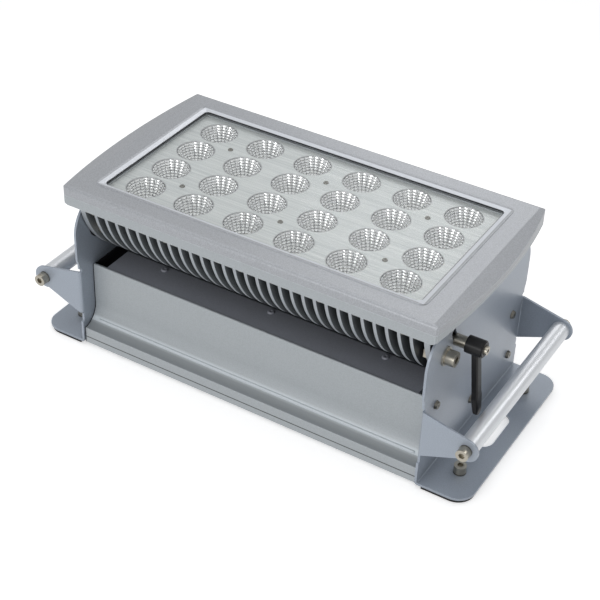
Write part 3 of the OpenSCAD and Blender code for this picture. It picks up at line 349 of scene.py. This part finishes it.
def moulded(name):
    # Fine spark texture, and edges paler from scuffs and a painted highlight.
    look = {**mould, **plastics[name]}
    tone = look["tone"]
    dark, pale = [scaled(tone, share) for share in look["cloudTones"]]
    made = Finish(name, Coat_Weight=look["coat"], Coat_Roughness=look["coatRough"],
                  Specular_IOR_Level=look["specular"])
    rounded, rubAndHighlight = made.edges(look["wearAndHighlightReach"])
    spark = made.noise(look["sparkScale"], 3)
    clouded = made.mix(made.noise(look["cloudScale"], 3), dark, pale)
    wornAndHighlit = made.mix((rubAndHighlight * look["wearAndHighlightGain"]).clamp(), clouded, scaled(tone, look["wearAndHighlightTone"]))
    made.feed(Base_Color=wornAndHighlit)
    made.feed(Roughness=look["rough"] - look["roughDrop"] + look["roughSpark"] * spark)
    made.bump(spark, *look["bump"], Normal=rounded)
    return made.material


# The plate behind the glass, the mirrors, the glass and the boards.

rolledPlate = {
    "dark": rgb(192, 198, 200), "pale": rgb(222, 226, 226), "lineSteps": (0.3, 0.7),
    "cloud": rgb(218, 220, 214), "cloudScale": 9, "cloudShare": 0.25,
    "lines": (7, 420, 420), "fine": (40, 1600, 1600), "metal": 0.35,
    "rough": 0.4, "roughFine": 0.12, "bump": (0.12, 0.0002), "bumpLines": 0.6,
}


def brushedPlate():
    # Long rolled lines, finer lines in the gloss and a slight clouding.
    look = rolledPlate
    made = Finish("plateAluminium", Metallic=look["metal"])
    lines = made.noise(1.0, 6, 0.7, look["lines"])
    fine = made.noise(1.0, 3, 0.6, look["fine"])
    lined = made.mix(lines.step(*look["lineSteps"]), look["dark"], look["pale"])
    clouds = made.noise(look["cloudScale"], 3) * look["cloudShare"]
    made.feed(Base_Color=made.mix(clouds, lined, look["cloud"]))
    made.feed(Roughness=look["rough"] + look["roughFine"] * fine)
    made.bump(lines * look["bumpLines"] + fine * (1 - look["bumpLines"]), *look["bump"])
    return made.material


mirror = {
    "low": rgb(250, 252, 253), "high": rgb(254, 255, 255), "metal": 0.75,
    "waveScale": 260, "rough": 0.12, "roughWave": 0.1, "bump": (0.05, 0.0003),
}


def chromeMirror():
    # Vacuum coated facets, a little uneven.
    made = Finish("mirrorChrome", Metallic=mirror["metal"])
    uneven = made.noise(mirror["waveScale"], 2)
    made.feed(Base_Color=made.mix(uneven, mirror["low"], mirror["high"]))
    made.feed(Roughness=mirror["rough"] + mirror["roughWave"] * uneven)
    made.bump(uneven, *mirror["bump"])
    return made.material


glassPane = {
    "tint": rgb(236, 243, 243), "index": 1.5, "smearScale": 18,
    "alpha": 0.045, "alphaSmear": 0.03, "rough": 0.02, "roughSmear": 0.05,
}


def clearGlass():
    # Clear sheet: nearly see-through by its alpha, with smears that change alpha and gloss a little.
    made = Finish("clearGlass", Base_Color=glassPane["tint"], IOR=glassPane["index"])
    smear = made.noise(glassPane["smearScale"], 3)
    made.feed(Alpha=glassPane["alpha"] + glassPane["alphaSmear"] * smear)
    made.feed(Roughness=glassPane["rough"] + glassPane["roughSmear"] * smear)
    return made.material


solderMask = {
    "tone": rgb(24, 92, 58), "trackTone": 2.2, "trackScale": 160.0,
    "coat": 0.3, "rough": 0.35, "roughDrift": 0.1, "driftScale": 300,
}


def circuitBoard():
    # Green solder mask, paler over its tracks.
    look = solderMask
    made = Finish("circuitBoard", Coat_Weight=look["coat"])
    track = made.wire("ShaderNodeTexBrick", "Fac", Vector=made.place, Scale=look["trackScale"])
    made.feed(Base_Color=made.mix(track, look["tone"], scaled(look["tone"], look["trackTone"])))
    made.feed(Roughness=look["rough"] + look["roughDrift"] * made.noise(look["driftScale"]))
    return made.material


# Small pieces whose tone drifts between two near ones.

twoTones = {
    "whiteBoard": {
        "low": rgb(214, 214, 208), "high": rgb(236, 236, 230), "toneScale": 120, "toneDetail": 3,
        "coat": 0.0, "rough": 0.3, "roughDrift": 0.1, "driftScale": 400,
    },
    "ledPhosphor": {
        "low": rgb(226, 206, 120), "high": rgb(240, 226, 160), "toneScale": 800, "toneDetail": 2,
        "coat": 0.6, "rough": 0.25, "roughDrift": 0.1, "driftScale": 500,
    },
}


def twoTone(name):
    look = twoTones[name]
    made = Finish(name, Coat_Weight=look["coat"])
    drift = made.noise(look["toneScale"], look["toneDetail"])
    made.feed(Base_Color=made.mix(drift, look["low"], look["high"]))
    made.feed(Roughness=look["rough"] + look["roughDrift"] * made.noise(look["driftScale"]))
    return made.material


slots = {
    "housing_paint": paint("housingPaint"), "bezel_paint": paint("bezelPaint"),
    "plate_paint": paint("platePaint"), "lid_paint": paint("lidPaint"),
    "dark_steel": bareMetal("darkSteel"), "nickel_steel": bareMetal("nickelSteel"),
    "tube_aluminium": bareMetal("tubeAluminium"), "inner_metal": bareMetal("sheetMetal"),
    "bush_brass": bareMetal("brass"), "plate_aluminium": brushedPlate(),
    "mirror_chrome": chromeMirror(), "clear_glass": clearGlass(),
    "black_plastic": moulded("blackPlastic"), "lever_black": moulded("leverPlastic"),
    "inlet_blue": moulded("inletPlastic"), "seal_rubber": moulded("sealRubber"),
    "foot_rubber": moulded("footRubber"), "board_green": circuitBoard(),
    "board_white": twoTone("whiteBoard"), "led_yellow": twoTone("ledPhosphor"),
}
for part in frame["record"]["subparts"]:
    solid = nodes[part["node"]]
    solid.data.materials.clear()
    solid.data.materials.append(slots[part["material_slot"]])
nodes["heatsink_housing"].data.materials[0] = paint("finPaint")  # deeper painted shade in its corners than the base's paint
nodes["cover_screws"].data.materials[0] = slots["lid_paint"]


# Reflectors: the solid cups show as a bright rim, and their dark tone is painted shade in the grooves
# between the facets.

cupRows = sorted(name for name in nodes if name.startswith("reflectors_row_"))

grooveShadeShell = {
    # Painted shade: the dark tone stands for the shade in the grooves; the rim keeps the sheet metal's own
    # tone.
    "tone": rgb(52, 54, 58), "rimTone": metals["sheetMetal"]["tone"], "metal": 0.8,
    "rough": 0.35, "roughDrift": 0.1, "driftScale": 400,
    "rimFrom": 0.0012, "rimTo": 0.0006,  # below the cup's top
}


def cupGrooveShade(top):
    # Painted shade below the rim, the sheet metal's own tone on the rim.
    made = Finish("cupGrooveShade", Metallic=grooveShadeShell["metal"])
    rim = made.along("Z").step(top - grooveShadeShell["rimFrom"], top - grooveShadeShell["rimTo"])
    made.feed(Base_Color=made.mix(rim, grooveShadeShell["tone"], grooveShadeShell["rimTone"]))
    made.feed(Roughness=grooveShadeShell["rough"] + grooveShadeShell["roughDrift"] * made.noise(grooveShadeShell["driftScale"], 2))
    return made.material


cup = {
    "perRow": 6,
    "mouthRadius": 0.0202,
    "neckRadius": 0.0066,
    "depth": 0.0252,
    "drop": 0.0004,  # of the mouth below the solid cup's top
    "curve": 0.62,  # power of the wall's outline
    "columns": 22,
    "rows": 9,
    "grid": 3,  # faces along each side of a facet
    "groove": 0.035,  # share of a column left free at each side
    "ledge": 0.09,  # share of a row left free above and below
    "bulge": 0.00015,  # crown along the height
    "flute": 0.0009,  # crown across the column
    "tilt": 0.0002,
    "lean": {"turn": 0.7, "drift": 0.3, "wave": (12.9, 78.2)},  # sideways, by turns left and right
    "nod": {"mean": 0.45, "drift": 0.4, "wave": (39.3, 11.1)},  # up and down
}


def cupTree():
    # Puts the cup on each point of a mesh. Its inputs are the points, the cup and the finish.
    tree = bpy.data.node_groups.new("reflectorCups", "GeometryNodeTree")
    tree.interface.new_socket("Geometry", in_out="INPUT", socket_type="NodeSocketGeometry")
    tree.interface.new_socket("Cup", in_out="INPUT", socket_type="NodeSocketObject")
    tree.interface.new_socket("Finish", in_out="INPUT", socket_type="NodeSocketMaterial")
    tree.interface.new_socket("Geometry", in_out="OUTPUT", socket_type="NodeSocketGeometry")
    graph = Graph(tree)
    given = graph.node("NodeGroupInput").outputs
    points = graph.node("GeometryNodeMeshToPoints", Mesh=given["Geometry"]).outputs["Points"]
    shape = graph.node("GeometryNodeObjectInfo", Object=given["Cup"]).outputs["Geometry"]
    copies = graph.node("GeometryNodeInstanceOnPoints", Points=points, Instance=shape).outputs["Instances"]
    real = graph.node("GeometryNodeRealizeInstances", Geometry=copies).outputs["Geometry"]
    coated = graph.node("GeometryNodeSetMaterial", Geometry=real, Material=given["Finish"])
    graph.node("NodeGroupOutput", Geometry=coated.outputs["Geometry"])
    return tree


def cupShape():
    # One cup: separate pillowed facets on a curved wall, with a groove between neighbours.
    spots, panels = [], []
    columns, rows, grid = cup["columns"], cup["rows"], cup["grid"]
    shares = [k / grid for k in range(grid + 1)]

    def wall(u, t, rise):
        angle = 2 * math.pi * u / columns
        widening = (cup["mouthRadius"] - cup["neckRadius"]) * max(t, 0) ** cup["curve"]
        reach = cup["neckRadius"] + widening - rise
        return (reach * math.cos(angle), reach * math.sin(angle), -cup["depth"] * (1 - t))

    def crown(share):
        return 1 - (2 * share - 1) ** 2  # 0 at both edges, 1 in the middle

    def drift(way, column, row):
        return way["drift"] * math.sin(way["wave"][0] * column + way["wave"][1] * row)

    for row in range(rows):
        for column in range(columns):
            first = len(spots)
            lean = cup["lean"]["turn"] * (-1) ** column + drift(cup["lean"], column, row)
            nod = cup["nod"]["mean"] + drift(cup["nod"], column, row)
            for b in shares:
                for a in shares:
                    u = column + cup["groove"] + (1 - 2 * cup["groove"]) * a
                    t = (row + cup["ledge"] + (1 - 2 * cup["ledge"]) * b) / rows
                    rise = cup["bulge"] * crown(b) + cup["flute"] * crown(a)
                    rise += cup["tilt"] * (1 + lean * (a - 0.5) - nod * (b - 0.5))
                    spots.append(wall(u, t, rise))
            for j in range(grid):
                for i in range(grid):
                    k = first + j * (grid + 1) + i
                    panels.append((k + 1, k, k + grid + 1, k + grid + 2))
    made = bpy.data.meshes.new("cupShape")
    made.from_pydata(spots, [], panels)
    made.polygons.foreach_set("use_smooth", [True] * len(panels))
    made.update()
    return bpy.data.objects.new("cupShape", made)


def lineCups(rowNode, tree, shape):
    # Facets for one row, at the places of its solid cups.
    low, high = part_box(rowNode)
    radius = (high.y - low.y) / 2
    pitch = (high.x - low.x - 2 * radius) / (cup["perRow"] - 1)
    y = (low.y + high.y) / 2
    z = high.z - cup["drop"]
    places = bpy.data.meshes.new("cupPlaces")
    places.from_pydata([(low.x + radius + k * pitch, y, z) for k in range(cup["perRow"])], [], [])
    carrier = bpy.data.objects.new("cupPlaces", places)
    bpy.context.scene.collection.objects.link(carrier)
    modifier = carrier.modifiers.new("cups", "NODES")
    modifier.node_group = tree
    ids = {item.name: item.identifier for item in tree.interface.items_tree if item.in_out == "INPUT"}
    modifier[ids["Cup"]] = shape
    modifier[ids["Finish"]] = slots["mirror_chrome"]
    plain = bpy.data.meshes.new_from_object(carrier.evaluated_get(bpy.context.evaluated_depsgraph_get()))
    bpy.data.objects.remove(carrier)
    plain.name = rowNode + "_facets"
    facets = bpy.data.objects.new(rowNode + "_facets", plain)
    bpy.context.scene.collection.objects.link(facets)
    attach(facets, "head")


grooveShadeFinish = cupGrooveShade(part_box(cupRows[0])[1].z)
tree = cupTree()
shape = cupShape()
bpy.context.scene.collection.objects.link(shape)
for rowNode in cupRows:
    nodes[rowNode].data.materials[0] = grooveShadeFinish
    lineCups(rowNode, tree, shape)
bpy.data.objects.remove(shape)
print("reflector facets made in", len(cupRows), "rows")


# Studio.

white = (1, 1, 1, 1)

ground = {
    "half": 14.0,
    "level": -0.0005,
    "tone": (0.93, 0.93, 0.93, 1),
    "rough": 0.9,
    "specular": 0.1,
    "lift": 0.5,  # glow added near the object, which keeps its shadow
    "fadeFrom": 0.45,  # distances from the middle between which the floor turns white
    "fadeTo": 1.1,
}


def makeFloor():
    made = Finish("floorCover", Base_Color=ground["tone"], Roughness=ground["rough"],
                  Specular_IOR_Level=ground["specular"])
    half, level = ground["half"], ground["level"]
    corners = [(-half, -half, level), (half, -half, level), (half, half, level), (-half, half, level)]
    mesh = bpy.data.meshes.new("floor")
    mesh.from_pydata(corners, [], [(0, 1, 2, 3)])
    floor = bpy.data.objects.new("floor", mesh)
    bpy.context.scene.collection.objects.link(floor)
    mesh.materials.append(made.material)

    matt = made.shader.outputs[0]
    rays = made.node("ShaderNodeLightPath").outputs
    mirrored = Wire(made, rays["Is Glossy Ray"]) + Wire(made, rays["Is Transmission Ray"])
    glow = made.node("ShaderNodeEmission", Color=white, Strength=ground["lift"]).outputs[0]
    lifted = made.node("ShaderNodeAddShader", _0=matt, _1=glow).outputs[0]
    near = made.node("ShaderNodeMixShader", _0=rays["Is Camera Ray"], _1=matt, _2=lifted).outputs[0]
    away = made.wire("ShaderNodeVectorMath", "Value", {"operation": "LENGTH"}, _0=made.place)
    away = away.step(ground["fadeFrom"], ground["fadeTo"])
    plain = (Wire(made, rays["Is Camera Ray"]) * away + mirrored).clamp()
    bright = made.node("ShaderNodeEmission", Color=white, Strength=1.0).outputs[0]
    blend = made.node("ShaderNodeMixShader", _0=plain, _1=near, _2=bright).outputs[0]
    made.plug(blend, made.tree.nodes["Material Output"].inputs["Surface"])


air = {"light": 0.4, "gloss": 0.6}


def makeAir():
    # White to the camera and through glass, dimmer in gloss and as a light.
    world = bpy.data.worlds.new("studioAir")
    bpy.context.scene.world = world
    world.use_nodes = True
    graph = Graph(world.node_tree)
    background = world.node_tree.nodes["Background"].inputs
    rays = graph.node("ShaderNodeLightPath").outputs
    seen = (Wire(graph, rays["Is Camera Ray"]) + Wire(graph, rays["Is Transmission Ray"])).clamp()
    dim = air["light"] + (air["gloss"] - air["light"]) * Wire(graph, rays["Is Glossy Ray"])
    graph.plug(white, background["Color"])
    graph.plug(dim + (1 - dim) * seen, background["Strength"])


lamps = {
    "key": {"place": (-0.2, -0.1, 1.8), "aim": (0, 0, 0.12), "size": (1.7, 1.5), "power": 8.3},
    "fill": {"place": (-0.1, -2.0, 0.75), "aim": (0, 0, 0.1), "size": (1.4, 0.7), "power": 11.0},
    "side": {"place": (1.2, 1.5, 1.4), "aim": (0.2, 0, 0.1), "size": (0.45, 0.9), "power": 4.0},
    "rear": {"place": (-0.4, 1.45, 1.25), "aim": (0.1, 0, 0.12), "size": (0.8, 0.8), "power": 3.0},
}


def makeLamp(name):
    look = lamps[name]
    light = bpy.data.lights.new(name, "AREA")
    light.shape = "RECTANGLE"
    light.size, light.size_y = look["size"]
    light.energy = look["power"]
    lamp = bpy.data.objects.new(name, light)
    lamp.location = look["place"]
    lamp.rotation_euler = (Vector(look["aim"]) - lamp.location).to_track_quat("-Z", "Y").to_euler()
    bpy.context.scene.collection.objects.link(lamp)


view = {
    "place": (0.63112, -1.09217, 0.99854),
    "turn": (53.811, -1.889, 31.385),  # degrees about X, Y and Z
    "lens": 86.98,
    "sensor": 36,
    "nearest": 0.05,
    "farthest": 60,
}


def makeCamera():
    camera = bpy.data.cameras.new("camera")
    camera.lens = view["lens"]
    camera.sensor_width = view["sensor"]
    camera.clip_start = view["nearest"]
    camera.clip_end = view["farthest"]
    eye = bpy.data.objects.new("camera", camera)
    eye.location = view["place"]
    eye.rotation_euler = [math.radians(angle) for angle in view["turn"]]
    bpy.context.scene.collection.objects.link(eye)
    bpy.context.scene.camera = eye


makeFloor()
makeAir()
for name in lamps:
    makeLamp(name)
makeCamera()
bpy.context.scene.view_settings.view_transform = "Standard"
print("studio ready")
